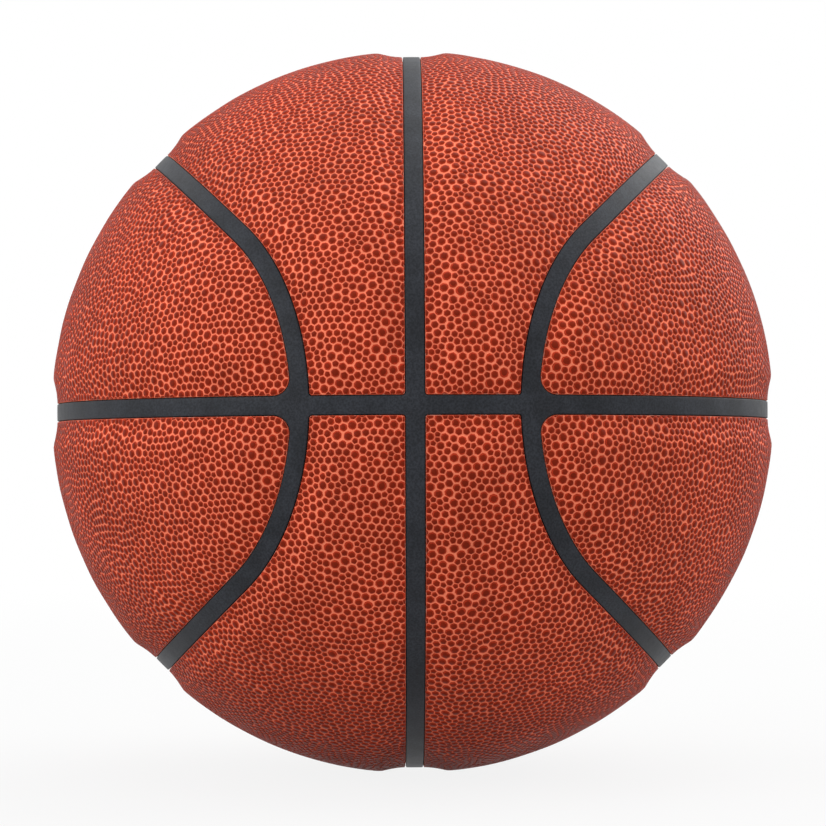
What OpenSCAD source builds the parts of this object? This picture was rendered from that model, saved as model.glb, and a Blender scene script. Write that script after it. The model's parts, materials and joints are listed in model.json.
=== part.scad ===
// Full-size basketball: bladder, valve, wound thread, rubber carcass with raised seam ribs,
// and eight cover panels on foam pads. X is right, Y is back, Z is up, the origin is the centre.

/* [Ball] */
// Diameter over the crowns of the panels
ball_d = 243; // [200:1:260]

/* [Seams] */
// Width of the rubber rib that shows between two panels
seam_w = 6.2; // [4.5:0.1:8]
// How far the top of a rib lies below the crown of the panels
valley_depth = 1.9; // [1.2:0.1:2.2]
// How far the edge of a panel stands above the top of the rib
edge_step = 0.2; // [0.1:0.05:0.4]
// Width of the hollowed shoulder along each edge of a panel
shoulder_w = 8; // [6.5:0.5:10]
// Gap between the wall of a rib and the edge of a panel
edge_gap = 0.25; // [0.1:0.05:0.4]
// Distance over the ball from the front cross to where a seam loop crosses the level seam
loop_reach = 35.4; // [30:0.1:40]
// Corner radius of the oval panels
corner_r = 5.75; // [4.5:0.25:7]

/* [Cover] */
// Thickness of a cover panel
panel_t = 1.4; // [1:0.1:1.8]
// Thickness of the foam pad under a panel
pad_t = 1.7; // [1.5:0.1:2.2]
// Width of the solid rim of a panel, outside its pad
rim_w = 4; // [3:0.5:5]

/* [Core] */
// Thickness of the carcass under the panels
carcass_t = 1; // [0.8:0.1:2]
// Thickness of the layer of wound thread
winding_t = 0.8; // [0.5:0.1:1.5]
// Wall of the air bladder
bladder_t = 0.9; // [0.6:0.1:1.5]
// Clearance left for glue between two layers
glue_t = 0.1; // [0.05:0.01:0.15]

/* [Valve] */
// Diameter of the valve's nose, which shows in the cross of ribs
nose_d = 6; // [5:0.1:7]
// Diameter of the valve housing inside the bladder
housing_d = 11; // [9:0.5:14]
// Length of the valve housing below its flange
housing_l = 12; // [11:0.5:18]
// Diameter of the flange that is bonded inside the bladder
flange_d = 32; // [24:1:40]
// Thickness of the flange
flange_t = 1.2; // [0.8:0.1:2]
// Diameter of the valve plug at the nose
plug_d = 3.8; // [3.4:0.1:4.2]
// Diameter of the swollen part of the plug that locks it in the housing
bulb_d = 6.4; // [5.5:0.1:7]
// Height of the cone from the bulb up to the stem
bulb_l = 2; // [1:0.5:3]
// Diameter of the end of the plug's tail
tail_d = 3; // [2.4:0.1:3.4]
// Length of the plug's tail, from the bulb down
tail_l = 4; // [3:0.5:5]
// How far the plug lies below the face of the nose
plug_recess = 0.3; // [0.1:0.1:0.6]
// Diameter of the inflation needle's hole
needle_d = 1.8; // [1.4:0.1:2]
// Length of the inflation needle's hole
needle_l = 11; // [8:0.5:13]

/* [Balance patch] */
// Diameter of the patch that balances the valve
patch_d = 34; // [28:1:40]
// Thickness of the patch
patch_t = 1.4; // [1:0.1:2.5]

/* [Hidden] */
$fn = 96;

// Radii of the layers, from the crown inwards
ball_r = ball_d / 2;
rib_r = ball_r - valley_depth;
floor_r = ball_r - panel_t - pad_t - 2 * glue_t;
winding_r = floor_r - carcass_t - glue_t;
bladder_r = winding_r - winding_t - glue_t;
air_r = bladder_r - bladder_t;

// The valve stands on the axis of the cross at the back
nose_z = rib_r;
flange_z = air_r - glue_t - flange_t;
plug_z = flange_z - housing_l + 2 * glue_t;

// Bodies that cut the layers run from well below the floor to well above the crown
low_r = 0.9 * floor_r;
high_r = 1.5 * ball_r;

// Each seam loop follows two planes tilted from the level seam, and turns at the front and at the
// back on a circle of the ball that both planes touch. The circle stands out past the planes a
// little, so that the two lines of a loop cross and don't only touch.
loop_tilt = 45;
loop_swell = 0.05;
cross_a = 90 - arc_deg(loop_reach);
turn_az = atan((sin(cross_a) - sin(loop_tilt)) / cos(cross_a));
turn_a = cross_a - turn_az + arc_deg(loop_swell);
straight_a = atan(tan(turn_az) / cos(loop_tilt));

// The edge of a panel lies lower than its crown, at the foot of a sloping shoulder
edge_drop = valley_depth - edge_step;
crest_w = seam_w / 2 + shoulder_w;
corner_swell = 0.03;
pole_tilt = loop_tilt / 2;

// Angle at the centre of the ball for a distance over the crown
function arc_deg(length) = length / ball_r * 180 / PI;
// Point of a profile, at radius rho and at angle a from the axis of the revolve
function polar(rho, a) = [rho * sin(a), rho * cos(a)];
// The same, at a distance beside a seam that lies at angle seam_a
function beside(rho, seam_a, distance) = polar(rho, seam_a + asin(distance / rho));
// How far the shoulder lies below the crown, at a distance from the middle of a seam
function shoulder_drop(distance) = edge_drop * (crest_w - distance) / shoulder_w;

// Ball whose surface is the shoulder beside a seam: it is moved along the axis of the seam's
// circle until it passes through the edge and the crest of the shoulder. side is 1 for the
// shoulder away from that axis and -1 for the one towards it.
module shoulder_ball(seam_a, side, inset, top_r) {
    edge = beside(top_r - shoulder_drop(inset), seam_a, side * inset);
    crest = beside(top_r, seam_a, side * crest_w);
    shift = (crest * crest - edge * edge) / (2 * (crest[1] - edge[1]));
    translate([0, 0, shift])
        sphere(norm(crest - [0, shift]));
}

// Places along the right-hand loop: its two straight runs share one axis, its turns have one each
module straight_axis()
    rotate([0, 90 + loop_tilt, 0])
        rotate([0, 0, 180 - straight_a])
            children();

module turn_axis(back)
    mirror([0, back, 0])
        rotate([0, 0, -turn_az])
            rotate([0, 90, 0])
                children();

// Sector of the upper straight run, from the given height along its axis
module straight_sector(from_y)
    rotate_extrude(angle = 2 * straight_a)
        polygon([
            [0.6 * floor_r, from_y], [high_r, from_y],
            [high_r, 0.8 * ball_r], [0.6 * floor_r, 0.8 * ball_r]
        ]);

// Everything inside a turn, whose wall stands square to the ball at a distance beside the seam
module inside_turn(distance) {
    low = beside(low_r, turn_a, distance);
    high = beside(high_r, turn_a, distance);
    rotate_extrude()
        polygon([[0, low[1]], low, high, [0, high_r]]);
}

module above_level_seam(inset, top_r, sloped)
    intersection() {
        translate([-high_r, -high_r, inset])
            cube([2 * high_r, 2 * high_r, high_r]);
        if (sloped)
            shoulder_ball(90, -1, inset, top_r);
    }

// Upper right quarter outside the loop, which runs over the ball from cross to cross
module long_field(inset, top_r, sloped = true)
    difference() {
        intersection() {
            sphere(top_r);
            above_level_seam(inset, top_r, sloped);
            rotate([0, 90, 0])
                above_level_seam(inset, top_r, sloped);
            if (sloped)
                for (back = [0, 1])
                    turn_axis(back)
                        shoulder_ball(turn_a, 1, inset, top_r);
        }
        sphere(floor_r);
        straight_axis()
            straight_sector(-inset);
        if (sloped)
            straight_axis()
                difference() {
                    straight_sector(-1.5 * crest_w);
                    shoulder_ball(90, 1, inset, top_r);
                }
        for (back = [0, 1])
            turn_axis(back)
                inside_turn(inset);
    }

// Upper half of what the right-hand loop encloses
module oval_field(inset, top_r, sloped = true)
    difference() {
        intersection() {
            sphere(top_r);
            above_level_seam(inset, top_r, sloped);
            union() {
                straight_axis()
                    intersection() {
                        straight_sector(inset);
                        if (sloped)
                            shoulder_ball(90, -1, inset, top_r);
                    }
                for (back = [0, 1])
                    turn_axis(back)
                        intersection() {
                            inside_turn(-inset);
                            if (sloped)
                                shoulder_ball(turn_a, -1, inset, top_r);
                        }
            }
        }
        sphere(floor_r);
        for (back = [0, 1])
            mirror([0, back, 0])
                corner_cut(inset);
    }

// What lies outside the rounded corner between the loop and the level seam
module corner_cut(inset) {
    bend_r = corner_r + seam_w / 2 - inset;
    bend_a = arc_deg(bend_r + corner_swell);
    lift_a = arc_deg(inset + bend_r);
    swing_a = acos(cos(turn_a - lift_a) / cos(lift_a));
    open_a = 180 - atan2(sin(swing_a), sin(lift_a) * cos(swing_a));
    rotate([0, 0, -turn_az - swing_a])
        rotate([0, 90 - lift_a, 0])
            rotate([0, 0, -open_a])
                rotate_extrude(angle = open_a)
                    polygon([
                        polar(low_r, bend_a), polar(high_r, bend_a),
                        polar(high_r, 3 * bend_a), polar(low_r, 3 * bend_a)
                    ]);
}

module quarter(right, upper)
    mirror([right ? 0 : 1, 0, 0])
        mirror([0, 0, upper ? 0 : 1])
            children();

module long_panel()
    color([0.72, 0.27, 0.16])
        difference() {
            long_field(seam_w / 2, ball_r);
            sphere(floor_r + glue_t);
            long_field(seam_w / 2 + rim_w, ball_r - panel_t);
        }

module oval_panel()
    color([0.76, 0.3, 0.18])
        difference() {
            oval_field(seam_w / 2, ball_r);
            sphere(floor_r + glue_t);
            oval_field(seam_w / 2 + rim_w, ball_r - panel_t);
        }

module long_pad()
    color([0.86, 0.82, 0.7])
        difference() {
            long_field(seam_w / 2 + rim_w + glue_t, ball_r - panel_t - glue_t);
            sphere(floor_r + glue_t);
        }

module oval_pad()
    color([0.88, 0.84, 0.72])
        difference() {
            oval_field(seam_w / 2 + rim_w + glue_t, ball_r - panel_t - glue_t);
            sphere(floor_r + glue_t);
        }

// Rubber shell with the net of ribs moulded on it, which stands between the panels' pockets.
// Its ball is turned so that both poles fall inside pockets.
module carcass()
    color([0.22, 0.22, 0.24])
        difference() {
            rotate([0, pole_tilt, 0])
                sphere(rib_r);
            for (right = [0, 1], upper = [0, 1])
                quarter(right, upper) {
                    long_field(seam_w / 2 - edge_gap, ball_r, false);
                    oval_field(seam_w / 2 - edge_gap, ball_r, false);
                }
            sphere(floor_r - carcass_t);
            valve_hole();
        }

module winding()
    color([0.93, 0.92, 0.88])
        difference() {
            sphere(winding_r);
            sphere(winding_r - winding_t);
            valve_hole();
        }

module bladder()
    color([0.12, 0.12, 0.13])
        difference() {
            sphere(bladder_r);
            sphere(air_r);
            valve_hole();
        }

// Hole for the valve's nose through all layers, at the cross of ribs at the back
module valve_hole()
    rotate([-90, 0, 0])
        cylinder(h = high_r, d = nose_d + 2 * glue_t);

// Half outline of the plug: a tapered tail, the bulb that locks it, and its stem up to the nose
module plug_outline(spare)
    polygon([
        [0, plug_z - spare], [tail_d / 2 + spare, plug_z - spare],
        [bulb_d / 2 + spare, plug_z + tail_l], [plug_d / 2 + spare, plug_z + tail_l + bulb_l],
        [plug_d / 2 + spare, nose_z - plug_recess], [0, nose_z - plug_recess]
    ]);

// Rubber socket for the plug: its flange is bonded inside the bladder, and its nose reaches out
// through all layers to the top of the ribs
module valve_housing()
    color([0.16, 0.16, 0.17])
        rotate([-90, 0, 0])
            difference() {
                union() {
                    cylinder(h = nose_z, d = nose_d);
                    cylinder(h = flange_z, d = housing_d);
                    intersection() {
                        sphere(air_r - glue_t);
                        cylinder(h = high_r, d = flange_d);
                    }
                }
                difference() {
                    sphere(flange_z);
                    translate([0, 0, flange_z - housing_l])
                        cylinder(h = high_r, d = housing_d);
                }
                rotate_extrude()
                    plug_outline(glue_t);
                translate([0, 0, nose_z - 2 * plug_recess])
                    cylinder(h = high_r, d = plug_d + 2 * glue_t);
                translate([0, 0, plug_z - housing_l])
                    cylinder(h = housing_l, d = tail_d);
            }

// Soft plug with the hole that the inflation needle opens
module valve_plug()
    color([0.1, 0.1, 0.1])
        rotate([-90, 0, 0])
            difference() {
                rotate_extrude()
                    plug_outline(0);
                translate([0, 0, nose_z - plug_recess - needle_l])
                    cylinder(h = high_r, d = needle_d);
            }

module balance_patch()
    color([0.14, 0.14, 0.15])
        rotate([90, 0, 0])
            difference() {
                intersection() {
                    sphere(air_r - glue_t);
                    cylinder(h = high_r, d = patch_d);
                }
                sphere(air_r - glue_t - patch_t);
            }

bladder();
balance_patch();
valve_housing();
valve_plug();
winding();
carcass();
quarter(true, true) long_pad();  // long_pad_upper_right
quarter(false, true) long_pad();  // long_pad_upper_left
quarter(true, false) long_pad();  // long_pad_lower_right
quarter(false, false) long_pad();  // long_pad_lower_left
quarter(true, true) oval_pad();  // oval_pad_upper_right
quarter(false, true) oval_pad();  // oval_pad_upper_left
quarter(true, false) oval_pad();  // oval_pad_lower_right
quarter(false, false) oval_pad();  // oval_pad_lower_left
quarter(true, true) long_panel();  // long_panel_upper_right
quarter(false, true) long_panel();  // long_panel_upper_left
quarter(true, false) long_panel();  // long_panel_lower_right
quarter(false, false) long_panel();  // long_panel_lower_left
quarter(true, true) oval_panel();  // oval_panel_upper_right
quarter(false, true) oval_panel();  // oval_panel_upper_left
quarter(true, false) oval_panel();  // oval_panel_lower_right
quarter(false, false) oval_panel();  // oval_panel_lower_left
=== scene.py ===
import bmesh
import bpy
import json
import math
import numpy as np
from mathutils import Matrix, Vector
from mathutils.geometry import delaunay_2d_cdt

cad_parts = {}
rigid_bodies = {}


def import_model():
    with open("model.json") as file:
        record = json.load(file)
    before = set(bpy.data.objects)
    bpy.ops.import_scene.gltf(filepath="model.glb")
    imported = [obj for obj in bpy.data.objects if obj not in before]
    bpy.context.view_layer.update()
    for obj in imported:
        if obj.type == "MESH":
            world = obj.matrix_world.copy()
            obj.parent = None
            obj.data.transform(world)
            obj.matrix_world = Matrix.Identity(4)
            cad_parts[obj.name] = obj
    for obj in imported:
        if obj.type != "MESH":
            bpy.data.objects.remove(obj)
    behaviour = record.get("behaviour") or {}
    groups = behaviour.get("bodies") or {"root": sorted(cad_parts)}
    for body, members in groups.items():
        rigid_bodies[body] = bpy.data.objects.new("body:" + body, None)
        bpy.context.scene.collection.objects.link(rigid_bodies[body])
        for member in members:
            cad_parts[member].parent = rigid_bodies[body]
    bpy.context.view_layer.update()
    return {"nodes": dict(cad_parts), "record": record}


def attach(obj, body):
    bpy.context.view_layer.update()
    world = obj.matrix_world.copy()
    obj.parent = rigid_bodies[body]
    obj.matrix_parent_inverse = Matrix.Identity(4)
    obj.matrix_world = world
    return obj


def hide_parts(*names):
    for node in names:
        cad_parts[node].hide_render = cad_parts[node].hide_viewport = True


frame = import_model()
mm = 0.001
tiny = 1e-7

# Sizes that several pieces share, the same as in the CAD model
ball = {
    "radius": 121.5 * mm,       # over the crowns of the panels
    "ribRadius": 119.6 * mm,    # top of the ribs
    "ribWidth": 6.2 * mm,
    "ribGap": 0.25 * mm,        # dark line between rib and panel
    "floorRadius": 118.2 * mm,  # floor of the pockets
    "carcass": 1.0 * mm,        # thickness of the shell under the ribs
    "glue": 0.1 * mm,
    "loopReach": 35.4 * mm,     # front cross to where a loop crosses the level seam
    "valveHole": 3.1 * mm,
}
quarters = {
    "upper_right": (1, 1), "upper_left": (-1, 1),
    "lower_right": (1, -1), "lower_left": (-1, -1),
}


# Seams, as distances over the ball. Folded into one quarter, a loop is a stretch of the great
# circle tilted by 45 degrees and an arc that turns round a centre on the level seam

crossAngle = math.pi / 2 - ball["loopReach"] / ball["radius"]
turnAngle = math.atan((math.sin(crossAngle) - math.sqrt(0.5)) / math.cos(crossAngle))
turnReach = crossAngle - turnAngle
turnCentre = np.array([math.cos(turnAngle), -math.sin(turnAngle), 0.0])
straightPole = np.array([math.sqrt(0.5), 0.0, -math.sqrt(0.5)])
turnSide = np.cross(straightPole, turnCentre)   # faces the part of a loop that turns
turnSide *= -np.sign(turnSide[1])


def unitOf(points):
    return points / np.linalg.norm(points, axis=1, keepdims=True)


def seamDistances(points, signs=None):
    unit = unitOf(points)
    folded = np.abs(unit) if signs is None else unit * np.array([signs[0], 1, signs[1]])
    folded[:, 1] = -np.abs(folded[:, 1])
    upright = np.arcsin(folded[:, 0].clip(-1, 1))
    level = np.arcsin(folded[:, 2].clip(-1, 1))
    straight = -np.arcsin((folded @ straightPole).clip(-1, 1))
    turn = np.arccos((folded @ turnCentre).clip(-1, 1)) - turnReach
    loop = np.where(folded @ turnSide > 0, turn, straight)
    return np.stack([upright, level, loop]) * ball["radius"]


# Distance inside an outline whose edges meet square, with its corners rounded
def insideEdges(distances, corner):
    short = np.maximum(corner - distances, 0)
    inCorner = corner - np.linalg.norm(short, axis=0)
    return np.where((short > 0).any(axis=0), inCorner, distances.min(axis=0))


def panelInside(kind, signs, points, corner):
    upright, level, loop = seamDistances(points, signs) - ball["ribWidth"] / 2
    if kind == "long":
        return insideEdges(np.stack([upright, level, loop]), corner)
    return insideEdges(np.stack([level, -loop - ball["ribWidth"]]), corner)


# A panel is crowned: it keeps the ball's radius and drops to its edges over a hollow shoulder
panel = {
    "corner": {"long": 0.8 * mm, "oval": 5.75 * mm},
    "shoulder": 8.0 * mm,   # width of the shoulder
    "drop": 1.9 * mm,       # how much lower the edge lies than the crown
    "hollow": 0.75,         # 0 is a straight shoulder, 1 the most hollow one
    "crest": 0.17,          # softness of the crest
    "crestReach": 1.6,      # in widths of the shoulder
    "thickness": 1.4 * mm,
    "backGap": 0.05 * mm,   # air between the hollow back and its sponge
    "solidRim": 4.0 * mm,   # the back is let in from here, rising over this part of it
    "riseStart": 0.2,
    "riseLength": 0.7,
    "rim": 0.2 * mm,        # rounded edge of the cover
    "waves": 0.06 * mm,     # unevenness of the soft cover
    "waveLength": 17 * mm,
    "waveCount": 7,
    "waveSeed": 5,
    "waveScale": 3.7,       # gives the waves a spread of about 1
    "waveTop": 1.2,         # waves above this are cut off
    "waveDepth": 4,         # and none is deeper than this
    "waveFade": 0.7,        # part of the shoulder over which they set in
}
pebble = {
    "spacing": 1.82 * mm,   # least distance between two of the first points
    "thinning": 0.08,       # how much sparser the pebbles lie in some places
    "seed": 7,
    "rounds": 3,            # how often the points are evened out
    "height": 0.30 * mm,
    "foot": 0.935,          # size of a pebble's foot and top against its cell
    "top": 0.785,
    "round": 0.98,          # a cell's corners count no further than this part of its reach
    "roundBlend": 0.25 * mm,
    "even": 0.15,           # 0 fills a large cell, 1 makes all pebbles one size
    "footShade": 0.3,       # colour at the foot, on the way from groove to top
    "cutOff": 0.93,         # how fully a pebble at the panel's edge is cut off by it
    "leastPart": 0.06,      # a smaller part of a cell carries no pebble
    "splitEdge": 1.6 * mm,  # longer edges of a cell get a point in the middle
    "outlineStep": 1.0 * mm,
}
waveCount = panel["waveCount"]
waveDirections = np.random.default_rng(panel["waveSeed"]).normal(size=(3, waveCount))
waveDirections *= 2 * math.pi / panel["waveLength"] / np.linalg.norm(waveDirections, axis=0)


def panelRadius(kind, signs, points, crown):
    crestCorner = panel["shoulder"] + (panel["corner"][kind] if kind == "oval" else 0)
    u = (panelInside(kind, signs, points, crestCorner) / panel["shoulder"]).clip(0, panel["crestReach"])
    share = 1 - (1 - panel["hollow"]) * u - panel["hollow"] * u * u
    share = (share + np.sqrt(share ** 2 + panel["crest"] ** 2)) / 2
    waves = np.sin(points @ waveDirections + np.arange(waveCount)).mean(axis=1) * panel["waveScale"]
    sunk = panel["waves"] * (panel["waveTop"] - waves).clip(0, panel["waveDepth"])
    return crown - panel["drop"] * share - sunk * (u / panel["waveFade"]).clip(0, 1)


# Helpers for objects and node trees

def newObject(name, data):
    made = bpy.data.objects.new(name, data)
    bpy.context.scene.collection.objects.link(made)
    return made


# The mesh of a piece with its modifiers applied
def appliedMesh(piece):
    graph = bpy.context.evaluated_depsgraph_get()
    return bpy.data.meshes.new_from_object(piece.evaluated_get(graph), depsgraph=graph)


def feed(tree, socket, value):
    if isinstance(value, bpy.types.NodeSocket):
        tree.links.new(value, socket)
    elif value is not None:
        socket.default_value = value


def addNode(tree, kind, inputs=None, **settings):
    made = tree.nodes.new(kind)
    for name, value in settings.items():
        setattr(made, name, value)
    for name, value in (inputs or {}).items():
        feed(tree, made.inputs[name], value)
    return made


def mathNode(tree, operation, a, b=None, c=None):
    return addNode(tree, "ShaderNodeMath", {0: a, 1: b, 2: c}, operation=operation).outputs[0]


def vectorNode(tree, operation, a, b=None, scale=None):
    made = addNode(tree, "ShaderNodeVectorMath", {0: a, 1: b, 3: scale}, operation=operation)
    return made.outputs["Value" if operation in ("LENGTH", "DOT_PRODUCT") else "Vector"]


def scaled(tree, vector, by):
    return vectorNode(tree, "SCALE", vector, scale=by)


def mapRange(tree, value, low, high, toLow=0.0, toHigh=1.0, kind="SMOOTHSTEP"):
    return addNode(tree, "ShaderNodeMapRange", {
        "Value": value, "From Min": low, "From Max": high, "To Min": toLow, "To Max": toHigh},
        interpolation_type=kind).outputs["Result"]


def readNamed(tree, label, kind="FLOAT_VECTOR"):
    made = addNode(tree, "GeometryNodeInputNamedAttribute", {"Name": label}, data_type=kind)
    return made.outputs["Attribute"]


def storeNamed(tree, geometry, label, value, kind="FLOAT", domain="POINT", selection=None):
    return addNode(tree, "GeometryNodeStoreNamedAttribute", {
        "Geometry": geometry, "Name": label, "Value": value, "Selection": selection},
        data_type=kind, domain=domain).outputs[0]


def movePoints(tree, geometry, selection=None, **places):
    return addNode(tree, "GeometryNodeSetPosition", {
        "Geometry": geometry, "Selection": selection, **places}).outputs[0]


def extrude(tree, mesh, selection, mode, offset=0.0):
    made = addNode(tree, "GeometryNodeExtrudeMesh", {
        "Mesh": mesh, "Selection": selection, "Offset Scale": offset}, mode=mode).outputs
    return made["Mesh"], made["Top"]


def newTree(name, sizes, numbers=()):
    tree = bpy.data.node_groups.new(name, "GeometryNodeTree")
    sockets = [("Geometry", "Geometry"), *((label, "Float") for label in sizes),
               *((label, "Int") for label in numbers), ("Material", "Material")]
    for label, kind in sockets:
        tree.interface.new_socket(label, in_out="INPUT", socket_type="NodeSocket" + kind)
    tree.interface.new_socket("Geometry", in_out="OUTPUT", socket_type="NodeSocketGeometry")
    return tree, tree.nodes.new("NodeGroupInput").outputs


def closeTree(tree, given, geometry):
    real = addNode(tree, "GeometryNodeRealizeInstances", {"Geometry": geometry})
    painted = addNode(tree, "GeometryNodeSetMaterial", {
        "Geometry": real.outputs[0], "Material": given["Material"]})
    addNode(tree, "NodeGroupOutput", {"Geometry": painted.outputs[0]})


# Runs a tree on a mesh and gives the result as a plain object
def bakeTree(name, mesh, tree, values):
    holder = newObject(name + "_holder", mesh)
    modifier = holder.modifiers.new("build", "NODES")
    modifier.node_group = tree
    for item in tree.interface.items_tree:
        if item.in_out == "INPUT" and item.name in values:
            modifier[item.identifier] = values[item.name]
    holder.update_tag()
    made = appliedMesh(holder)
    bpy.data.objects.remove(holder)
    made.name = name
    return newObject(name, made)


def triangleCount(piece):
    return sum(len(face.vertices) - 2 for face in piece.data.polygons)


# Cells: points scattered over the ball, joined by triangles and evened out round after round.
# A point with fewer than five neighbours goes at first, and the others move to the middle of the
# triangles round them. The cells are what surrounds each point in the end

scattering = {
    "patches": {"Scale": 22.0, "Detail": 1.0},   # noise of where the points lie sparser
    "patchRange": (0.35, 0.65),
    "plenty": 15.0,     # points tried for each that fits
    "overlap": 0.3,     # how far a flat half of the ball reaches over the other, in radii
    "fewest": (5, 3),   # neighbours that a point needs to stay, in the first round and later
}


def scatterTree():
    tree, given = newTree("scattered points", ["Radius", "Spacing", "Thinning"], ["Seed"])
    sphere = addNode(tree, "GeometryNodeMeshIcoSphere", {"Radius": given["Radius"], "Subdivisions": 6})
    patches = addNode(tree, "ShaderNodeTexNoise", scattering["patches"]).outputs[0]
    thinned = mapRange(tree, patches, *scattering["patchRange"], 0.0, given["Thinning"], "LINEAR")
    kept = mathNode(tree, "SUBTRACT", 1.0, thinned)
    square = mathNode(tree, "MULTIPLY", given["Spacing"], given["Spacing"])
    density = mathNode(tree, "DIVIDE", scattering["plenty"], square)
    scatter = addNode(tree, "GeometryNodeDistributePointsOnFaces", distribute_method="POISSON", inputs={
        "Mesh": sphere.outputs["Mesh"], "Distance Min": given["Spacing"],
        "Density Max": density, "Density Factor": kept, "Seed": given["Seed"]})
    made = addNode(tree, "GeometryNodePointsToVertices", {"Points": scatter.outputs["Points"]})
    closeTree(tree, given, made.outputs[0])
    return tree


# Triangles between neighbours: each half of the ball is laid flat, which keeps its circles round
def trianglesBetween(points):
    found = []
    for side in (-1, 1):
        near = np.nonzero(points[:, 1] * side > -scattering["overlap"] * ball["radius"])[0]
        flat = points[near][:, ::2] / (ball["radius"] + side * points[near, 1:2])
        _, _, faces, origins, _, _ = delaunay_2d_cdt([Vector(place) for place in flat], [], [], 0, tiny)
        order = np.array([origin[0] for origin in origins])
        triangles = near[order[np.array(faces)]]
        found.append(triangles[points[triangles].mean(axis=1)[:, 1] * side > 0])
    return np.concatenate(found)


def evenedOut(points, rounds):
    for number in range(rounds):
        triangles = trianglesBetween(points)
        corners = points[triangles]
        across = np.cross(corners[:, 1] - corners[:, 0], corners[:, 2] - corners[:, 0])
        weighted = corners.mean(axis=1) * np.linalg.norm(across, axis=1)[:, None]
        moved = np.zeros_like(points)
        for corner in range(3):
            np.add.at(moved, triangles[:, corner], weighted)
        neighbours = np.bincount(triangles.ravel(), minlength=len(points))
        fewest = scattering["fewest"][min(number, 1)]
        points = unitOf(moved[neighbours >= fewest]) * ball["radius"]
    return points


def makeCells(settings):
    made = bakeTree("scatter", bpy.data.meshes.new("empty"), scatterTree(), {
        "Radius": ball["radius"], "Spacing": settings["spacing"],
        "Thinning": settings.get("thinning", 0.0), "Seed": settings["seed"]})
    points = np.zeros(len(made.data.vertices) * 3)
    made.data.vertices.foreach_get("co", points)
    bpy.data.objects.remove(made)
    points = evenedOut(unitOf(points.reshape(-1, 3)) * ball["radius"], settings["rounds"])

    # The middles of the triangles round a point are its cell's corners, put in order by their angle
    triangles = trianglesBetween(points)
    owner = triangles.ravel()
    corner = np.repeat(np.arange(len(triangles)), 3)
    middles = unitOf(points[triangles].mean(axis=1)) * ball["radius"]
    spokes = middles[corner] - points[owner]
    up = unitOf(points)
    east = unitOf(np.cross(up, [0.3, 0.5, 0.8]))
    north = np.cross(up, east)
    angle = np.arctan2((spokes * north[owner]).sum(axis=1), (spokes * east[owner]).sum(axis=1))
    order = np.lexsort((angle, owner))
    starts = np.searchsorted(owner[order], np.arange(len(points)))
    return {
        "points": middles, "corners": corner[order], "starts": starts,
        "even": settings.get("even", 0)}


# Cutting cells along a region's outline
cutting = {
    "step": 0.02 * mm,     # over which a slope is measured
    "leastSlope": 0.05,    # squared, so that no point is moved too far
    "moves": 5,
    "halvings": 6,
    "accuracy": 0.012 * mm,
}


# How fast the distance inside a region grows, and in which direction over the ball
def slope(inside, points):
    step = cutting["step"]
    ways = np.eye(3) * step
    change = np.stack([inside(points + way) - inside(points - way) for way in ways], axis=1)
    gradient = change / (2 * step)
    unit = unitOf(points)
    return gradient - unit * (gradient * unit).sum(axis=1, keepdims=True)


# Moves points over the ball onto the outline of a region
def ontoOutline(inside, points):
    for _ in range(cutting["moves"]):
        gradient = slope(inside, points)
        length = (gradient ** 2).sum(axis=1).clip(cutting["leastSlope"], None)
        points = points - gradient * (inside(points) / length)[:, None]
        points = unitOf(points) * ball["radius"]
    return points


# Where the outline turns, its stretches are halved until they follow it
def followOutline(places, faces, onOutline, inside):
    for _ in range(cutting["halvings"]):
        uses = {}
        for k, ring in enumerate(faces):
            for a, b in zip(ring, ring[1:] + ring[:1]):
                if onOutline[a] and onOutline[b]:
                    uses.setdefault((min(a, b), max(a, b)), []).append(k)
        stretches = [(edge, found[0]) for edge, found in uses.items() if len(found) == 1]
        ends = np.array([edge for edge, _ in stretches])
        middle = (places[ends[:, 0]] + places[ends[:, 1]]) / 2
        moved = ontoOutline(inside, middle)
        missed = np.linalg.norm(moved - unitOf(middle) * ball["radius"], axis=1)
        coarse = np.nonzero(missed > cutting["accuracy"])[0]
        if not len(coarse):
            break
        for added, k in enumerate(coarse):
            (a, b), face = stretches[k]
            ring = faces[face]
            at = ring.index(a)
            before = ring[at - 1] == b
            ring.insert(at if before else at + 1, len(places) + added)
        places = np.concatenate([places, moved[coarse]])
        onOutline = np.append(onOutline, np.ones(len(coarse), bool))
    return places, onOutline


# A long edge gets a point in its middle, so that the pebbles come out round
def splitLongEdges(places, faces, onOutline, longest):
    middles, extra = {}, []
    for k, ring in enumerate(faces):
        full = []
        for a, b in zip(ring, ring[1:] + ring[:1]):
            full.append(a)
            if onOutline[a] and onOutline[b]:
                continue
            if np.linalg.norm(places[a] - places[b]) > longest:
                key = (min(a, b), max(a, b))
                if key not in middles:
                    middles[key] = len(places) + len(extra)
                    extra.append((places[a] + places[b]) / 2)
                full.append(middles[key])
        faces[k] = full
    if extra:
        places = np.concatenate([places, unitOf(np.array(extra)) * ball["radius"]])
        onOutline = np.append(onOutline, np.zeros(len(extra), bool))
    return places, onOutline


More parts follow.
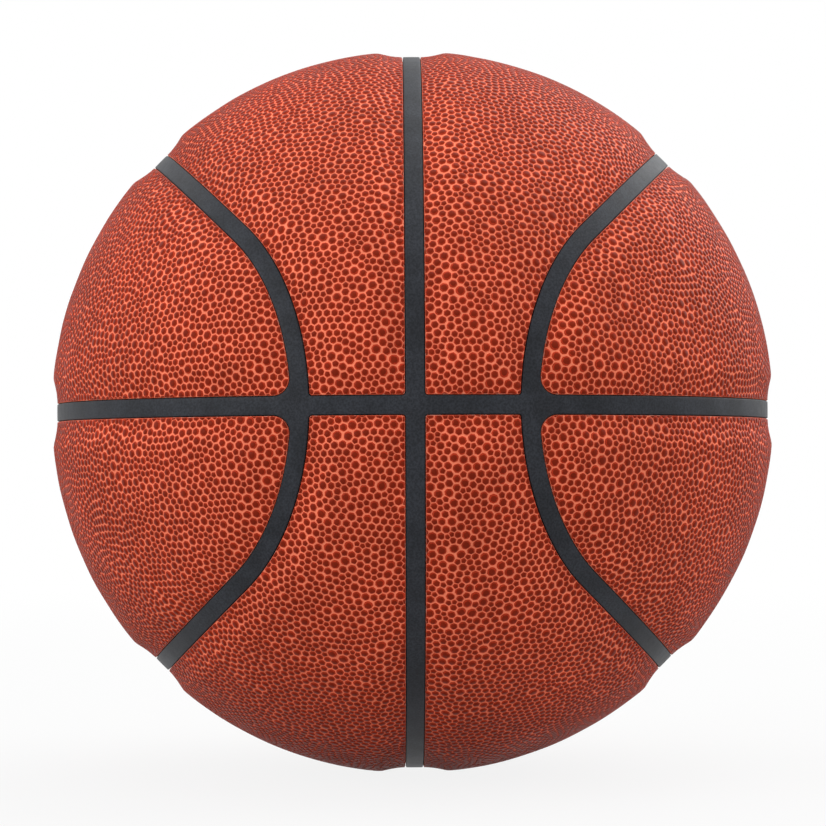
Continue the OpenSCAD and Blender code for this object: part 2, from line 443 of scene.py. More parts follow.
# The part of the cells that lies inside a region, cut along its outline
def cutCells(cells, inside, settings):
    points, corners, starts = cells["points"], cells["corners"], cells["starts"]
    value = inside(points)
    ends = np.append(starts[1:], len(corners))
    lowest = np.minimum.reduceat(value[corners], starts)
    highest = np.maximum.reduceat(value[corners], starts)
    places, rank, outline = [], {}, []

    def keep(key, place, onOutline=False):
        if key not in rank:
            rank[key] = len(places)
            places.append(place)
            if onOutline:
                outline.append(rank[key])
        return rank[key]

    def crossing(a, b):
        a, b = min(a, b), max(a, b)
        share = value[a] / (value[a] - value[b])
        return keep((a, b), points[a] + (points[b] - points[a]) * share, True)

    faces, source = [], []
    for cell in np.nonzero(highest > 0)[0]:
        ring = corners[starts[cell]:ends[cell]].tolist()
        if lowest[cell] >= 0:
            faces.append([keep(v, points[v]) for v in ring])
            source.append(cell)
            continue
        first = next(k for k, v in enumerate(ring) if value[v] > 0 and value[ring[k - 1]] <= 0)
        ring = ring[first:] + ring[:first]
        run, before = [], ring[-1]
        for v in ring:
            if value[v] > 0:
                if value[before] <= 0:
                    entry = crossing(before, v)
                    run = [entry]
                run.append(keep(v, points[v]))
            elif value[before] > 0:
                leave = crossing(before, v)
                run.append(leave)
                chord = places[entry] - places[leave]
                pieces = max(1, math.ceil(np.linalg.norm(chord) / settings["outlineStep"]))
                for k in range(1, pieces):
                    run.append(keep((cell, leave, k), places[leave] + chord * k / pieces, True))
                faces.append(run)
                source.append(cell)
            before = v
    places = np.array(places)
    places[outline] = ontoOutline(inside, places[outline])
    onOutline = np.zeros(len(places), bool)
    onOutline[outline] = True
    places, onOutline = followOutline(places, faces, onOutline, inside)
    if "splitEdge" in settings:
        places, onOutline = splitLongEdges(places, faces, onOutline, settings["splitEdge"])
    return {"points": places, "faces": faces, "source": np.array(source), "outline": onOutline}


def polygonAreas(points, corners, starts):
    ends = np.append(starts[1:], len(corners))
    following = np.arange(1, len(corners) + 1)
    following[ends - 1] = starts
    cross = np.cross(points[corners], points[corners[following]])
    return np.linalg.norm(np.add.reduceat(cross, starts, axis=0), axis=1) / 2


# Mesh of a cut region, with what the node tree needs to build on it:
# seed and reach of each cell, and for each point its way out over the rim and its place underneath
def regionMesh(name, cells, settings, inside, radiusAt, underAt, rim):
    region = cutCells(cells, inside, settings)
    counts = np.array([len(ring) for ring in region["faces"]])
    corners = np.concatenate(region["faces"])
    starts = np.cumsum(counts) - counts
    unit = unitOf(region["points"])
    points = unit * radiusAt(region["points"])[:, None]
    outward = np.zeros_like(points)
    edge = region["outline"]
    outward[edge] = -unitOf(slope(inside, region["points"][edge]))
    foot = unitOf(points + outward * rim)
    under = underAt(foot * ball["radius"])
    under[edge] = under[edge].min()
    foot = foot * under[:, None]

    cellCorners = np.diff(np.append(cells["starts"], len(cells["corners"])))
    sums = np.add.reduceat(cells["points"][cells["corners"]], cells["starts"], axis=0)
    seeds = unitOf(sums / cellCorners[:, None])
    whole = polygonAreas(cells["points"], cells["corners"], cells["starts"])
    even = cells["even"]
    reach = (np.sqrt(whole) * (1 - even) + np.sqrt(whole.mean()) * even) / math.sqrt(math.pi)
    whole = whole[region["source"]]
    seeds = seeds[region["source"]] * ball["radius"]
    outside = inside(seeds) < 0
    seeds[outside] = ontoOutline(inside, seeds[outside])
    seeds = unitOf(seeds) * radiusAt(seeds)[:, None]
    part = polygonAreas(region["points"], corners, starts)
    lift = (part > pebble["leastPart"] * whole).astype(float)

    mesh = bpy.data.meshes.new(name)
    mesh.from_pydata(points.tolist(), [], region["faces"])
    for label, domain, data in (
        ("outward", "POINT", outward), ("foot", "POINT", foot), ("seed", "FACE", seeds),
        ("reach", "FACE", reach[region["source"]]), ("lift", "FACE", lift),
    ):
        kind, field = ("FLOAT_VECTOR", "vector") if data.ndim > 1 else ("FLOAT", "value")
        attribute = mesh.attributes.new(label, kind, domain)
        attribute.data.foreach_set(field, data.astype(np.float32).ravel())
    return mesh


# Steps of a rounded edge: how far each goes out and down, in parts of the rim
rimSteps = ((0.4, 0.1), (0.4, 0.35), (0.2, 0.55))


# Rounds the edge of a skin, brings a wall down from it and closes it underneath
def addRimAndUnderside(tree, given, top, base):
    position = addNode(tree, "GeometryNodeInputPosition").outputs[0]
    outward, foot = readNamed(tree, "outward"), readNamed(tree, "foot")
    neighbours = addNode(tree, "GeometryNodeInputMeshEdgeNeighbors").outputs[0]
    edge = addNode(tree, "FunctionNodeCompare", {2: neighbours, 3: 1}, data_type="INT", operation="EQUAL")
    selection, mesh = edge.outputs[0], top
    for out, down in rimSteps:
        ring, selection = extrude(tree, mesh, selection, "EDGES")
        sideways = scaled(tree, outward, mathNode(tree, "MULTIPLY", given["Rim"], out))
        downBy = mathNode(tree, "MULTIPLY", given["Rim"], -down)
        inwards = scaled(tree, vectorNode(tree, "NORMALIZE", position), downBy)
        mesh = movePoints(tree, ring, selection, Offset=vectorNode(tree, "ADD", sideways, inwards))
        mesh = storeNamed(tree, mesh, "cutEdge", 1.0, selection=selection)
    wall, lowEdge = extrude(tree, mesh, selection, "EDGES")
    wall = movePoints(tree, wall, lowEdge, Position=foot)
    under = addNode(tree, "GeometryNodeFlipFaces", {"Mesh": movePoints(tree, base, Position=foot)})
    joined = addNode(tree, "GeometryNodeJoinGeometry")
    tree.links.new(wall, joined.inputs[0])
    tree.links.new(under.outputs[0], joined.inputs[0])
    merged = addNode(tree, "GeometryNodeMergeByDistance", {
        "Geometry": joined.outputs[0], "Distance": 0.0005 * mm})
    return addNode(tree, "GeometryNodeSetShadeSmooth", {"Geometry": merged.outputs[0]}).outputs[0]


# Raises a pebble on each cell: a rounded foot, a side and a top
def pebbleTree():
    sizes = ["Height", "Foot", "Top", "Round", "Cut Off", "Rim"]
    tree, given = newTree("pebbled cover", sizes, ["Seed"])
    random = addNode(tree, "FunctionNodeRandomValue", {"Seed": given["Seed"]}, data_type="FLOAT")
    toned = storeNamed(tree, given["Geometry"], "tone", random.outputs[1], domain="FACE")
    toned = storeNamed(tree, toned, "pebble", 0.0)
    position = addNode(tree, "GeometryNodeInputPosition").outputs[0]
    seed, outward = readNamed(tree, "seed"), readNamed(tree, "outward")
    reach, lift = readNamed(tree, "reach", "FLOAT"), readNamed(tree, "lift", "FLOAT")

    # A shift towards the seed, without the part that would draw the pebble in from the panel's edge
    def shift(spoke, share):
        whole = scaled(tree, spoke, mathNode(tree, "SUBTRACT", share, 1.0))
        across = vectorNode(tree, "DOT_PRODUCT", whole, outward)
        away = scaled(tree, outward, mathNode(tree, "MULTIPLY", across, given["Cut Off"]))
        return vectorNode(tree, "SUBTRACT", whole, away)

    foot, footFaces = extrude(tree, toned, None, "FACES")
    spoke = vectorNode(tree, "SUBTRACT", position, seed)
    length = vectorNode(tree, "LENGTH", spoke)
    longest = mathNode(tree, "MULTIPLY", reach, given["Round"])
    limited = mathNode(tree, "SMOOTH_MIN", length, longest, pebble["roundBlend"])
    shrunk = mathNode(tree, "MULTIPLY", limited, given["Foot"])
    footShare = mathNode(tree, "DIVIDE", shrunk, mathNode(tree, "MAXIMUM", length, 1e-6))
    foot = movePoints(tree, foot, footFaces, Offset=shift(spoke, footShare))
    foot = storeNamed(tree, foot, "pebble", pebble["footShade"], selection=footFaces)

    rise = mathNode(tree, "MULTIPLY", given["Height"], lift)
    top, topFaces = extrude(tree, foot, footFaces, "FACES", rise)
    raised = scaled(tree, vectorNode(tree, "NORMALIZE", seed), rise)
    spokeTop = vectorNode(tree, "SUBTRACT", position, vectorNode(tree, "ADD", seed, raised))
    topShare = mathNode(tree, "DIVIDE", given["Top"], given["Foot"])
    top = movePoints(tree, top, topFaces, Offset=shift(spokeTop, topShare))
    top = storeNamed(tree, top, "pebble", lift, selection=topFaces)
    around = scaled(tree, spokeTop, mathNode(tree, "DIVIDE", 1.0, reach))
    top = storeNamed(tree, top, "around", around, "FLOAT_VECTOR", selection=topFaces)
    closeTree(tree, given, addRimAndUnderside(tree, given, top, toned))
    return tree


def plainTree():
    tree, given = newTree("closed skin", ["Rim"])
    closeTree(tree, given, addRimAndUnderside(tree, given, given["Geometry"], given["Geometry"]))
    return tree


# Materials. Noise scales are per metre, and most of what a noise gives lies in 0.3 to 0.7

def newMaterial(name):
    made = bpy.data.materials.new(name)
    made.use_nodes = True
    return made, made.node_tree


def setShader(tree, values):
    shader = tree.nodes["Principled BSDF"]
    for name, value in values.items():
        feed(tree, shader.inputs[name], value)
    return shader


def objectPlace(tree):
    return addNode(tree, "ShaderNodeTexCoord").outputs["Object"]


def readAttribute(tree, label, output="Fac"):
    return addNode(tree, "ShaderNodeAttribute", attribute_name=label).outputs[output]


def noise(tree, scale, detail):
    return addNode(tree, "ShaderNodeTexNoise", {
        "Vector": objectPlace(tree), "Scale": scale, "Detail": detail, "Roughness": 0.55}).outputs["Fac"]


def ramp(tree, factor, stops):
    made = addNode(tree, "ShaderNodeValToRGB", {"Fac": factor})
    elements = made.color_ramp.elements
    while len(elements) < len(stops):
        elements.new(0.5)
    for element, (place, colour) in zip(elements, stops):
        element.position = place
        element.color = (*colour, 1)
    return made.outputs["Color"]


def mixColour(tree, factor, a, b):
    a, b = ((*colour, 1) if isinstance(colour, tuple) else colour for colour in (a, b))
    return addNode(tree, "ShaderNodeMix", {0: factor, 6: a, 7: b}, data_type="RGBA").outputs[2]


def uneven(tree, scale, values, between=(0.3, 0.7), detail=3):
    return mapRange(tree, noise(tree, scale, detail), *between, *values)


def bump(tree, height, depth, strength, under=None):
    return addNode(tree, "ShaderNodeBump", {
        "Height": height, "Distance": depth, "Strength": strength, "Normal": under}).outputs["Normal"]


def grained(tree, scale, detail, depth, strength, under=None):
    return bump(tree, noise(tree, scale, detail), depth, strength, under)


cover = {
    # From the groove up a pebble's wall the reds darken: partly the leather's own colour, partly painted
    # shade of the walls
    "groove": (0.87, 0.235, 0.134),
    "foot": (0.84, 0.165, 0.080),
    "side": (0.68, 0.085, 0.034),
    "shoulder": (0.47, 0.036, 0.012),
    "top": (0.190, 0.0140, 0.0032),
    "sideAt": 0.45,             # heights of these colours, from 0 in the groove to 1 on top
    "shoulderAt": 0.65,
    "printEdge": (0.74, 0.52),  # where the dark print on a pebble's top sets in, against its reach
    "printFrom": (0.35, 0.85),  # and the height over which it sets in
    "wobble": {"scale": 900, "values": (-0.07, 0.07)},  # unevenness of the print's edge
    # cutEdge, its share and the specks make a pale painted highlight along a panel's cut edge, broken into
    # specks
    "cutEdge": (0.80, 0.40, 0.32),
    "cutEdgeHighlightShare": 0.9,        # how fully a panel's cut edge takes the pale painted highlight
    "specks": {"scale": 700, "detail": 2, "between": (0.5, 0.68), "values": (0.0, 0.75)},
    "tones": (0.9, 1.1),        # how dark and light single pebbles are against the others
    "patches": {"scale": 35, "values": (0.93, 1.06)},
    "roughness": (0.62, 0.40),  # in the grooves and on the tops
    "wear": {"scale": 60, "between": (0.35, 0.7), "values": (0.0, 0.06)},
    "fineGrain": {"scale": 5200, "detail": 2, "depth": 0.03 * mm, "strength": 0.5},
    "grain": {"scale": 1500, "detail": 3, "depth": 0.05 * mm, "strength": 0.4},
    # A low refractive index gives a dull sheen that stays weak at the outline, and the matt finish
    # brightens towards it
    "shader": {
        "Specular IOR Level": 0.27, "IOR": 1.2,
        "Sheen Weight": 0.1, "Sheen Roughness": 0.35, "Sheen Tint": (1.0, 0.62, 0.5, 1)},
}


def coverMaterial():
    made, tree = newMaterial("pebbled cover")
    height, tone = readAttribute(tree, "pebble"), readAttribute(tree, "tone")
    around, cutEdge = readAttribute(tree, "around", "Vector"), readAttribute(tree, "cutEdge")

    fromMiddle = mathNode(tree, "ADD", vectorNode(tree, "LENGTH", around), uneven(tree, **cover["wobble"]))
    printed = mapRange(tree, fromMiddle, *cover["printEdge"])
    printed = mathNode(tree, "MULTIPLY", printed, mapRange(tree, height, *cover["printFrom"]))
    # The ramp darkens from the bright groove up the pebble's wall: partly the leather's colour, partly
    # painted shade of the walls
    colour = ramp(tree, height, [
        (0.0, cover["groove"]), (pebble["footShade"], cover["foot"]),
        (cover["sideAt"], cover["side"]), (cover["shoulderAt"], cover["shoulder"])])
    colour = mixColour(tree, printed, colour, cover["top"])
    # Specks of pale painted highlight along the panel's cut edge
    edgeHighlight = mixColour(tree, uneven(tree, **cover["specks"]), cover["side"], cover["cutEdge"])
    colour = mixColour(tree, mathNode(tree, "MULTIPLY", cutEdge, cover["cutEdgeHighlightShare"]), colour, edgeHighlight)

    shade = mapRange(tree, tone, 0, 1, *cover["tones"], "LINEAR")
    shade = mathNode(tree, "MULTIPLY", shade, uneven(tree, **cover["patches"]))
    rough = mapRange(tree, height, 0, 1, *cover["roughness"], "LINEAR")
    rough = mathNode(tree, "ADD", rough, uneven(tree, **cover["wear"]))
    normal = grained(tree, **cover["grain"], under=grained(tree, **cover["fineGrain"]))
    setShader(tree, {
        "Base Color": scaled(tree, colour, shade), "Roughness": rough, "Normal": normal,
        **cover["shader"]})
    return made


rubbers = {
    "rib_rubber": {"colour": (0.019, 0.0212, 0.0265), "roughness": 0.5, "specular": 0.16,
                   "grain": 0.25 * mm, "depth": 0.03 * mm},
    "valve_rubber": {"colour": (0.012, 0.012, 0.013), "roughness": 0.55, "specular": 0.4,
                     "grain": 0.3 * mm, "depth": 0.02 * mm},
    "bladder_rubber": {"colour": (0.015, 0.015, 0.017), "roughness": 0.45, "specular": 0.4,
                       "grain": 0.5 * mm, "depth": 0.03 * mm},
}
rubberFinish = {
    "patches": {"scale": 90, "detail": 4, "between": (0.35, 0.65), "values": (0.82, 1.2)},
    "specks": {"scale": 1600, "detail": 2, "between": (0.35, 0.65), "values": (0.72, 1.3)},
    "smears": {"scale": 300, "detail": 4},
    "smear": 0.02,  # how much the roughness varies
    # The fine and the coarse grain: scale, detail, depth against the rubber's grain, and strength
    "grains": ((1, 2, 1, 0.6), (0.15, 3, 2, 0.25)),
}


def rubberMaterial(name, rubber):
    made, tree = newMaterial(name)
    shades = [uneven(tree, **rubberFinish[part]) for part in ("patches", "specks")]
    smear = rubberFinish["smear"]
    rough = (rubber["roughness"] - smear, rubber["roughness"] + smear)
    normal = None
    for scale, detail, depth, strength in rubberFinish["grains"]:
        scale, depth = scale / rubber["grain"], depth * rubber["depth"]
        normal = grained(tree, scale, detail, depth, strength, normal)
    setShader(tree, {
        "Base Color": scaled(tree, rubber["colour"], mathNode(tree, "MULTIPLY", *shades)),
        "Roughness": uneven(tree, **rubberFinish["smears"], values=rough),
        "Specular IOR Level": rubber["specular"], "Normal": normal})
    return made


sponge = {
    "cells": 1800.0,
    # the middle of each pore is darker than its wall: painted shade in the pores
    "hole": (0.62, 0.55, 0.38),
    "wall": (0.84, 0.78, 0.62),
    "wallRange": (0.1, 0.6),   # distance from a cell's middle over which its wall begins
    "roughness": 0.95,
    "depth": 0.2 * mm,
    "strength": 0.7,
}


def foamMaterial():
    made, tree = newMaterial("sponge backing")
    cells = addNode(tree, "ShaderNodeTexVoronoi", {"Vector": objectPlace(tree), "Scale": sponge["cells"]})
    fromMiddle = cells.outputs["Distance"]
    # Pores are painted darker than their walls, as shade in them
    wall = mapRange(tree, fromMiddle, *sponge["wallRange"])
    setShader(tree, {
        "Base Color": mixColour(tree, wall, sponge["hole"], sponge["wall"]),
        "Roughness": sponge["roughness"],
        "Normal": bump(tree, fromMiddle, sponge["depth"], sponge["strength"])})
    return made


thread = {
    "turns": ((0.3, 0.9, 0.2), (1.4, 0.2, 1.1), (2.2, 1.3, 0.4)),  # how each layer lies, in radians
    "strands": {"Scale": 500.0, "Distortion": 1.2, "Detail": 1.0},
    # darker between the strands: painted shade in the gaps
    "between": (0.45, 0.43, 0.37),
    "strand": (0.86, 0.84, 0.78),
    "roughness": 0.7,
    "depth": 0.3 * mm,
    "strength": 0.8,
}


def threadMaterial():
    made, tree = newMaterial("wound thread")
    place = objectPlace(tree)
    height = None
    for turn in thread["turns"]:
        turned = addNode(tree, "ShaderNodeMapping", {"Vector": place, "Rotation": turn}).outputs[0]
        strands = addNode(tree, "ShaderNodeTexWave", {"Vector": turned, **thread["strands"]}).outputs["Fac"]
        height = strands if height is None else mathNode(tree, "MAXIMUM", height, strands)
    # The gaps between strands are painted darker, as shade between them
    setShader(tree, {
        "Base Color": mixColour(tree, height, thread["between"], thread["strand"]),
        "Roughness": thread["roughness"],
        "Normal": bump(tree, height, thread["depth"], thread["strength"])})
    return made


materials = {"cover": coverMaterial()}
for slot, rubber in rubbers.items():
    materials[slot] = rubberMaterial(slot.replace("_", " "), rubber)
materials["thread"] = threadMaterial()
materials["foam"] = foamMaterial()
for item in frame["record"]["subparts"]:
    node = frame["nodes"][item["node"]]
    node.data.materials.clear()
    node.data.materials.append(materials[item["material_slot"]])
print("materials made", flush=True)


# Panels

pebbleCells = makeCells(pebble)
print("pebble cells:", len(pebbleCells["starts"]), flush=True)
pebbles = pebbleTree()


def makePanel(kind, quarter, number):
    signs = quarters[quarter]
    name = f"{kind}_panel_{quarter}"
    crown = ball["radius"] - pebble["height"]
    crownBack = ball["radius"] - panel["thickness"] + panel["backGap"]
    seat = ball["floorRadius"] + ball["glue"]

    def inside(points):
        return panelInside(kind, signs, points, panel["corner"][kind]) - panel["rim"]

    def radiusAt(points):
        return panelRadius(kind, signs, points, crown)

    def underAt(points):
        fromEdge = panelInside(kind, signs, points, panel["corner"][kind]) / panel["solidRim"]
        blend = ((fromEdge - panel["riseStart"]) / panel["riseLength"]).clip(0, 1)
        hollow = panelRadius(kind, signs, points, crownBack)
        return seat + (np.maximum(hollow, seat) - seat) * blend * blend * (3 - 2 * blend)

    mesh = regionMesh(name, pebbleCells, pebble, inside, radiusAt, underAt, panel["rim"])
    piece = bakeTree(name + "_cover", mesh, pebbles, {
        "Height": pebble["height"], "Foot": pebble["foot"], "Top": pebble["top"],
        "Round": pebble["round"], "Cut Off": pebble["cutOff"], "Rim": panel["rim"],
        "Seed": pebble["seed"] + number, "Material": materials["cover"]})
    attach(piece, "root")
    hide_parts(name)
    return piece


for number, quarter in enumerate(quarters):
    for kind in ("long", "oval"):
        made = makePanel(kind, quarter, number)
        print(made.name, "triangles", triangleCount(made), flush=True)


# Carcass: the net of ribs and the shell that carries it

rib = {
    "spacing": 2.4 * mm,
    "seed": 3,
    "rounds": 3,
    "rim": 0.3 * mm,
    "outlineStep": 1.0 * mm,
    "sink": 0.4 * mm,      # how far the foot of a rib is let into the shell
    "sharpFrom": 50,       # degrees, past which an edge of the valve's hole is shaded sharp
    "holeDepth": 3 * mm,   # the cut reaches this far below the floor of the pockets
    "holeLip": ((1.2, 0), (0.5, 0.25), (0, 1)),   # how far down and out, in rims
    "holeSegments": 64,
    "shellSteps": 60,      # from pole to pole
    "shellSegments": 120,
}


def insideRibs(points):
    panels = [panelInside(kind, None, points, corner) for kind, corner in panel["corner"].items()]
    return -np.maximum(*panels) - ball["ribGap"] - rib["rim"]


plain = plainTree()


def makeRibs():
    mesh = regionMesh(
        "ribs", makeCells(rib), rib, insideRibs,
        lambda points: np.full(len(points), ball["ribRadius"]),
        lambda points: np.full(len(points), ball["floorRadius"] - rib["sink"]), rib["rim"])
    return bakeTree("ribs", mesh, plain, {"Rim": rib["rim"], "Material": materials["rib_rubber"]})


# Cuts the hole for the valve's nose out of the ribs, with a small rounded lip
def cutValveHole(ribs):
    hole, face, rim = ball["valveHole"], ball["ribRadius"], rib["rim"]
    low, high = ball["floorRadius"] - rib["holeDepth"], ball["radius"]
    lip = [(hole + out * rim, face - down * rim) for down, out in rib["holeLip"]]
    outline = [(0, low), (hole, low), *lip, (hole + rim, high), (0, high)]
    cutter = lathe("valve hole", outline, rib["holeSegments"], "rib_rubber")
    cut = ribs.modifiers.new("hole", "BOOLEAN")
    cut.object = cutter
    cut.operation = "DIFFERENCE"
    cut.solver = "EXACT"
    mesh = appliedMesh(ribs)
    ribs.modifiers.clear()
    bpy.data.objects.remove(cutter)
    ribs.data = mesh
    mesh.set_sharp_from_angle(angle=math.radians(rib["sharpFrom"]))
    return ribs


# Replaces each corner of an outline that has a radius by an arc
def roundCorners(corners, steps=5):
    made = []
    for k, (across, along, radius) in enumerate(corners):
        here = Vector((across, along))
        if not radius:
            made.append(here)
            continue
        before = (Vector(corners[k - 1][:2]) - here).normalized()
        after = (Vector(corners[(k + 1) % len(corners)][:2]) - here).normalized()
        half = before.angle(after) / 2
        start = here + before * (radius / math.tan(half))
        end = here + after * (radius / math.tan(half))
        centre = here + (before + after).normalized() * (radius / math.sin(half))
        turn = (start - centre).angle_signed(end - centre)
        for step in range(steps + 1):
            made.append(centre + (Matrix.Rotation(-turn * step / steps, 2) @ (start - centre)))
    return made


# Turns an outline of (distance from the axis, place along it) round the Y axis
def lathe(name, outline, segments, slot):
    rings = [[None] * segments for _ in outline]
    verts = []
    for ring, (across, along) in zip(rings, outline):
        for k in range(segments):
            if across < tiny and k:
                ring[k] = ring[0]
                continue
            angle = 2 * math.pi * k / segments
            ring[k] = len(verts)
            verts.append((across * math.sin(angle), along, across * math.cos(angle)))
    faces = []
    for ring, following in zip(rings, rings[1:] + rings[:1]):
        for k in range(segments):
            n = (k + 1) % segments
            face = list(dict.fromkeys((ring[k], ring[n], following[n], following[k])))
            if len(face) > 2:
                faces.append(face)
    mesh = bpy.data.meshes.new(name)
    mesh.from_pydata(verts, [], faces)
    work = bmesh.new()
    work.from_mesh(mesh)
    bmesh.ops.recalc_face_normals(work, faces=work.faces)
    work.to_mesh(mesh)
    work.free()
    mesh.shade_smooth()
    mesh.materials.append(materials[slot])
    return newObject(name, mesh)


def arcOutline(radius, first, last, steps):
    angles = [first + (last - first) * k / steps for k in range(steps + 1)]
    return [(radius * math.sin(angle), radius * math.cos(angle)) for angle in angles]


def makeShell():
    outer, inner = ball["floorRadius"], ball["floorRadius"] - ball["carcass"]
    hole, steps = math.asin(ball["valveHole"] / outer), rib["shellSteps"]
    outline = arcOutline(outer, hole, math.pi, steps) + arcOutline(inner, math.pi, hole, steps)
    return lathe("shell", outline, rib["shellSegments"], "rib_rubber")


def joinPieces(pieces):
    for piece in bpy.context.view_layer.objects:
        piece.select_set(piece in pieces)
    bpy.context.view_layer.objects.active = pieces[0]
    bpy.ops.object.join()
    return pieces[0]


made = joinPieces([cutValveHole(makeRibs()), makeShell()])
made.name = "ribbed_carcass"
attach(made, "root")
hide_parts("carcass")
print("carcass made, triangles", triangleCount(made), flush=True)


# Valve: the rubber socket whose nose shows at the back cross, and the plug in it

valve = {
    "noseRadius": 3.0 * mm,
    "housingRadius": 5.5 * mm,
    "housingLength": 12.0 * mm,
    "flangeRadius": 16.0 * mm,
    "flangeTop": 115.2 * mm,  # radius of the flange's outer face, which follows the bladder
    "flange": 1.2 * mm,       # its thickness
    "underSteps": (6.5, 8, 10, 12, 14),   # points of its faces, in mm from the axis
    "overSteps": (14, 12, 10, 8, 6, 4.5),
    "plugRadius": 1.9 * mm,
    "bulbRadius": 3.2 * mm,   # the plug widens to a bulb, which holds it in the housing
    "bulb": 2.0 * mm,
    "tailRadius": 1.5 * mm,
    "tail": 4.0 * mm,
    "tailStart": 0.2 * mm,
    "recess": 0.3 * mm,       # how far the plug lies below the nose
    "needleRadius": 0.9 * mm,
    "needle": 11.0 * mm,
    "gap": 0.1 * mm,
    "lip": 0.35 * mm,         # rounding of the edges
    "segments": 64,
}


def makeValve():
    nose, over = ball["ribRadius"], valve["flangeTop"]
    under = over - valve["flange"]
    low = under - valve["housingLength"]
    tail = low + valve["tailStart"]
    bulb = tail + valve["tail"]
    neck = bulb + valve["bulb"]
    gap, lip = valve["gap"], valve["lip"]
    bore = valve["plugRadius"] + gap

    def onSphere(radius, across, rounding=0):
        return across, math.sqrt(radius ** 2 - across ** 2), rounding

    flangeUnder = [onSphere(under, across * mm) for across in valve["underSteps"]]
    flangeOver = [onSphere(over, across * mm) for across in valve["overSteps"]]
    housing = roundCorners([
        (valve["tailRadius"], low, lip), (valve["housingRadius"], low, lip),
        onSphere(under, valve["housingRadius"], lip), *flangeUnder,
        onSphere(under, valve["flangeRadius"], lip), onSphere(over, valve["flangeRadius"], lip),
        *flangeOver, onSphere(over, valve["noseRadius"], lip),
        (valve["noseRadius"], nose, lip), (bore, nose, lip),
        (bore, neck, lip), (valve["bulbRadius"] + gap, bulb, lip),
        (valve["tailRadius"] + gap, tail - gap, 0), (valve["tailRadius"], tail - gap, 0),
    ])
    top = nose - valve["recess"]
    needleEnd = top - valve["needle"]
    plug = roundCorners([
        (0, tail, 0), (valve["tailRadius"], tail, lip), (valve["bulbRadius"], bulb, lip),
        (valve["plugRadius"], neck, lip), (valve["plugRadius"], top, lip),
        (valve["needleRadius"], top, lip), (valve["needleRadius"], needleEnd, 0), (0, needleEnd, 0),
    ])
    for name, node, outline in (
        ("valve_socket", "valve_housing", housing), ("valve_stopper", "valve_plug", plug),
    ):
        made = lathe(name, outline, valve["segments"], "valve_rubber")
        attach(made, "root")
        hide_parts(node)


makeValve()
print("valve made", flush=True)


# Sponge pads in the hollow backs of the panels

pad = {
    "spacing": 3.2 * mm,
    "seed": 11,
    "rounds": 4,
    "inset": 4.1 * mm,    # from the panel's edge to the pad's
    "level": 120.0 * mm,  # radius over the crown of a pad
    "rim": 0.25 * mm,
    "outlineStep": 1.5 * mm,
}


def makePad(kind, quarter):
    signs = quarters[quarter]
    name = f"{kind}_pad_{quarter}"

    def inside(points):
        return panelInside(kind, signs, points, panel["corner"][kind]) - pad["inset"] - pad["rim"]

    mesh = regionMesh(
        name, padCells, pad, inside,
        lambda points: panelRadius(kind, signs, points, pad["level"]),
        lambda points: np.full(len(points), ball["floorRadius"] + ball["glue"]), pad["rim"])
    piece = bakeTree(name + "_sponge", mesh, plain, {"Rim": pad["rim"], "Material": materials["foam"]})
    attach(piece, "root")
    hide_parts(name)


padCells = makeCells(pad)
for quarter in quarters:
    for kind in ("long", "oval"):
        makePad(kind, quarter)
print("pads made", flush=True)


# Camera, light and stage

camera = {
    "distance": 0.911,
    "lens": 116.9,
    "sensor": 36,
    "nearest": 0.01,
    "yaw": 0.40,       # degrees to the left of the front cross
    "pitch": -1.07,    # degrees above the level seam
    "roll": 0.26,
    "imageSize": 826,
    "ballCentre": (412.5, 412.2),
}


# Facing the ball's centre
def facingBall(place):
    return Matrix.Translation(place) @ place.to_track_quat("Z", "Y").to_matrix().to_4x4()


def makeCamera():
    data = bpy.data.cameras.new("camera")
    data.sensor_width = camera["sensor"]
    data.lens = camera["lens"]
    middle = camera["imageSize"] / 2
    data.shift_x = (middle - camera["ballCentre"][0]) / camera["imageSize"]
    data.shift_y = (camera["ballCentre"][1] - middle) / camera["imageSize"]
    data.clip_start = camera["nearest"]
    made = newObject("camera", data)
    yaw, pitch = math.radians(camera["yaw"]), math.radians(camera["pitch"])
    away = Vector((-math.sin(yaw) * math.cos(pitch), -math.cos(yaw) * math.cos(pitch), math.sin(pitch)))
    roll = Matrix.Rotation(-math.radians(camera["roll"]), 4, "Z")
    made.matrix_world = facingBall(away * camera["distance"]) @ roll
    bpy.context.scene.camera = made


lamps = {
    "top": {"place": (0.0, -0.1, 1.7), "size": 1.6, "power": 10.0},
    "left": {"place": (-1.5, -0.8, 0.6), "size": 1.0, "power": 9.0},
    "rimRight": {"place": (1.1, 0.7, 1.2), "size": 2.3, "power": 25.0},
    "rimLeft": {"place": (-1.1, 0.7, 1.2), "size": 0.8, "power": 2.5},
}


def makeLamps():
    for name, lamp in lamps.items():
        data = bpy.data.lights.new(name, "AREA")
        data.shape = "DISK"
        data.size = lamp["size"]
        data.energy = lamp["power"]
        newObject(name, data).matrix_world = facingBall(Vector(lamp["place"]))


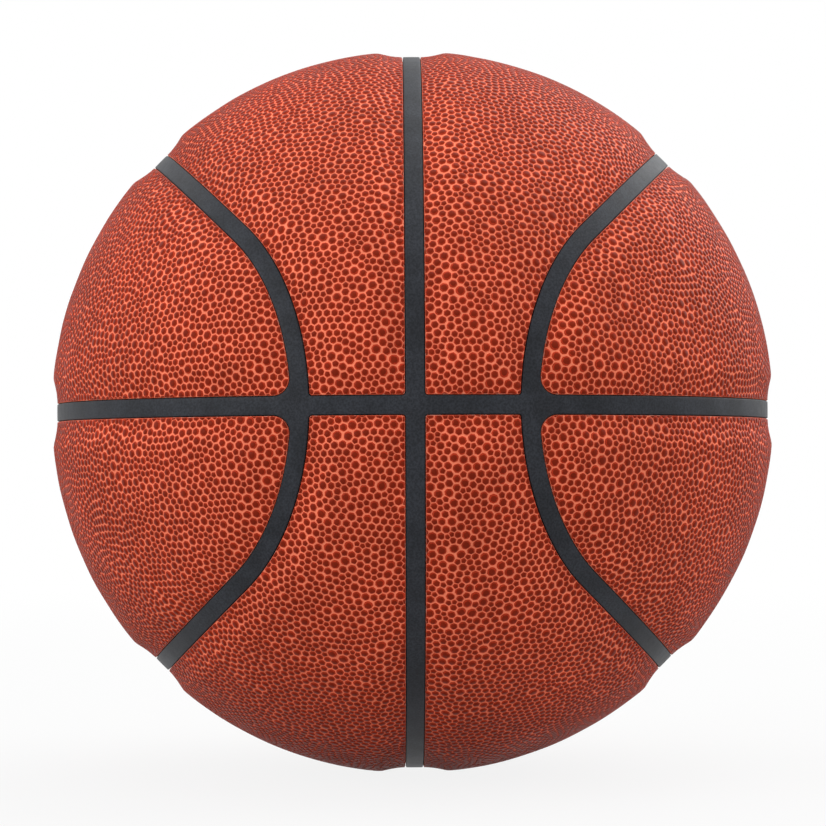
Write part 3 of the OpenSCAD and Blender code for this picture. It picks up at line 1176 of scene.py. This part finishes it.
room = {
    "white": (1, 1, 1, 1),
    "diffuse": 0.92,     # strength of the room's light on the ball
    "floorSize": 6.0,
    "floorColour": (0.5, 0.5, 0.5, 1),
    "floorRoughness": 0.9,
    "floorLight": 0.87,  # share of plain white that the floor shows near the ball
    "fadeStart": 0.3,    # from here the floor fades to plain white
    "fadeEnd": 1.4,
}


# 1 where the camera looks, directly, in a reflection or through something
def seenRays(tree):
    path = addNode(tree, "ShaderNodeLightPath").outputs
    seen = mathNode(tree, "MAXIMUM", path["Is Camera Ray"], path["Is Glossy Ray"])
    return mathNode(tree, "MAXIMUM", seen, path["Is Transmission Ray"])


def makeWorld():
    world = bpy.data.worlds.new("white room")
    bpy.context.scene.world = world
    world.use_nodes = True
    tree = world.node_tree
    tree.nodes.clear()
    strength = mapRange(tree, seenRays(tree), 0, 1, room["diffuse"], 1.0, "LINEAR")
    shade = addNode(tree, "ShaderNodeBackground", {"Color": room["white"], "Strength": strength})
    addNode(tree, "ShaderNodeOutputWorld", {"Surface": shade.outputs[0]})


def makeFloor():
    mesh = bpy.data.meshes.new("floor")
    half, low = room["floorSize"] / 2, -ball["radius"]
    corners = [(-half, -half, low), (half, -half, low), (half, half, low), (-half, half, low)]
    mesh.from_pydata(corners, [], [(0, 1, 2, 3)])
    made = newObject("floor", mesh)
    material, tree = newMaterial("white floor")
    shader = setShader(tree, {
        "Base Color": room["floorColour"], "Roughness": room["floorRoughness"], "Specular IOR Level": 0})
    fromBall = vectorNode(tree, "LENGTH", objectPlace(tree))
    white = mapRange(tree, fromBall, room["fadeStart"], room["fadeEnd"], room["floorLight"], 1.0)
    bright = addNode(tree, "ShaderNodeEmission", {"Color": room["white"]})
    share = mathNode(tree, "MULTIPLY", seenRays(tree), white)
    mixed = addNode(tree, "ShaderNodeMixShader", {0: share, 1: shader.outputs[0], 2: bright.outputs[0]})
    tree.links.new(mixed.outputs[0], tree.nodes["Material Output"].inputs["Surface"])
    mesh.materials.append(material)


makeCamera()
makeLamps()
makeWorld()
makeFloor()
bpy.context.scene.view_settings.view_transform = "Standard"
print("stage made", flush=True)
